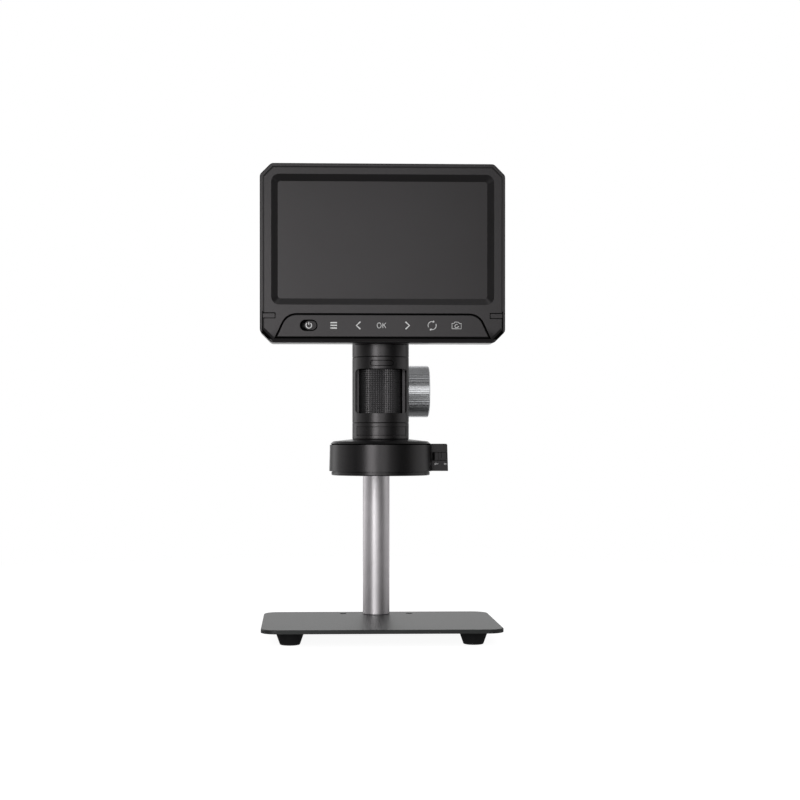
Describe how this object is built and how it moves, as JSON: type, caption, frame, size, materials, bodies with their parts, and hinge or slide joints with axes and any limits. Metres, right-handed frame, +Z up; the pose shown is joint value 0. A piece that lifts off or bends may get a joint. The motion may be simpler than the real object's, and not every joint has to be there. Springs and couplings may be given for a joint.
{
  "type": "lcd digital microscope",
  "caption": "Desk microscope: a flat plate and round column carry a camera tube with a ring light, focused by rack and pinion, under a wide display that tilts on a hinge.",
  "frame": {"origin": "on the table, under the middle of the object's box at rest", "axes": "+Z up along the column, -Y towards the user who looks at the display, +X to the user's right, the side of the focus knob"},
  "size_m": [0.181, 0.138, 0.3557],
  "materials": {
    "plate_grey": "satin grey coat",
    "column_steel": "drawn and polished",
    "steel_small": "zinc plated",
    "steel_black": "black oxide",
    "brass_parts": "turned",
    "slide_black": "black anodised",
    "block_black": "black powder coat",
    "foot_rubber": "matt",
    "pad_nylon": "natural nylon",
    "knob_silver": "bright, straight knurled",
    "lock_black": "moulded, lobed",
    "tube_black": "satin black",
    "cage_black": "moulded, matt",
    "focus_ring_black": "knurled",
    "trim_black": "smooth",
    "light_black": "fine texture",
    "switch_black": "ribbed",
    "diffuser_white": "translucent",
    "lamp_yellow": "clear dome",
    "board_green": "solder mask",
    "chip_black": "moulded",
    "lens_glass": "coated",
    "head_black": "fine texture",
    "panel_black": "smooth satin",
    "screen_glass": "matt anti-glare",
    "lcd_metal": "pressed frame",
    "battery_grey": "foil wrapped"
  },
  "bodies": {
    "stand": {"base_plate": "plate_grey", "rubber_feet": "foot_rubber", "foot_screws": "steel_small", "column": "column_steel", "column_cap": "trim_black", "column_washer": "steel_small", "column_bolt": "steel_small"},
    "focus_block": {"focus_block": "block_black", "column_bushes": "brass_parts", "lock_pad": "pad_nylon", "slide_gib": "slide_black", "gib_screws": "steel_small", "pinion_bushes": "brass_parts"},
    "focus_knob": {"pinion_shaft": "steel_small", "shaft_clip": "steel_small", "focus_knob": "knob_silver", "knob_set_screw": "steel_black"},
    "lock_screw": {"lock_stud": "steel_small", "lock_knob": "lock_black"},
    "scope": {"focus_slide": "slide_black", "slide_screws": "steel_small", "focus_rack": "brass_parts", "tube_housing": "tube_black", "ring_cage": "cage_black", "neck": "tube_black", "lower_barrel": "tube_black", "label_inlay": "trim_black", "sensor_board": "board_green", "image_sensor": "chip_black", "ir_filter": "lens_glass", "snap_switch": "chip_black", "ring_cover": "light_black", "ring_housing": "light_black", "ring_lip": "light_black", "lip_screws": "steel_small", "led_board": "board_green", "leds": "lamp_yellow", "light_diffuser": "diffuser_white", "switch_box": "light_black", "light_switch_body": "chip_black"},
    "snap_button": {"snap_button": "trim_black"},
    "focus_ring": {"focus_ring": "focus_ring_black"},
    "lens": {"lens_carrier": "focus_ring_black", "lens_elements": "lens_glass", "lens_retainer": "brass_parts"},
    "light_switch": {"light_switch": "switch_black"},
    "head": {"front_bezel": "head_black", "side_inlays": "trim_black", "button_panel": "panel_black", "touch_board": "board_green", "power_switch_body": "chip_black", "screen_glass": "screen_glass", "lcd_panel": "lcd_metal", "main_board": "board_green", "battery_pack": "battery_grey", "io_ports": "steel_small", "rear_cover": "head_black", "rear_cover_screws": "steel_black", "hinge_set": "steel_small"},
    "power_slider": {"power_slider": "switch_black"}
  },
  "joints": [
    {"name": "column_slide", "type": "slide", "parent": "stand", "child": "focus_block", "axis": [0, 0, 1], "range_m": [-0.085, 0.025]},
    {"name": "lock_turn", "type": "hinge", "parent": "focus_block", "child": "lock_screw", "pos_m": [0, 0.0632, 0.1904], "axis": [0, 1, 0], "range_deg": [0, 270]},
    {"name": "fine_focus", "type": "slide", "parent": "focus_block", "child": "scope", "axis": [0, 0, 1], "range_m": [-0.012, 0.012]},
    {"name": "knob_turn", "type": "hinge", "parent": "focus_block", "child": "focus_knob", "pos_m": [0.0295, 0.0158, 0.1904], "axis": [-1, 0, 0], "range_deg": [-115, 115]},
    {"name": "ring_turn", "type": "hinge", "parent": "scope", "child": "focus_ring", "pos_m": [0, -0.0302, 0.189], "axis": [0, 0, 1], "range_deg": [-135.5, 135.5]},
    {"name": "lens_travel", "type": "slide", "parent": "scope", "child": "lens", "axis": [0, 0, 1], "range_m": [-0.0045, 0.0045]},
    {"name": "snap_press", "type": "slide", "parent": "scope", "child": "snap_button", "axis": [0, 1, 0], "range_m": [0, 0.0008], "stiffness_N_per_m": 1500},
    {"name": "light_slide", "type": "slide", "parent": "scope", "child": "light_switch", "axis": [1, 0, 0], "range_m": [-0.0018, 0]},
    {"name": "head_tilt", "type": "hinge", "parent": "scope", "child": "head", "pos_m": [0, -0.0302, 0.236], "axis": [-1, 0, 0], "range_deg": [0, 30]},
    {"name": "power_slide", "type": "slide", "parent": "head", "child": "power_slider", "axis": [1, 0, 0], "range_m": [-0.0028, 0]}
  ],
  "couplings": [
    {"joint": "knob_turn", "follows": "fine_focus", "rad_per_m": 166.67},
    {"joint": "ring_turn", "follows": "lens_travel", "rad_per_m": 523.6}
  ]
}
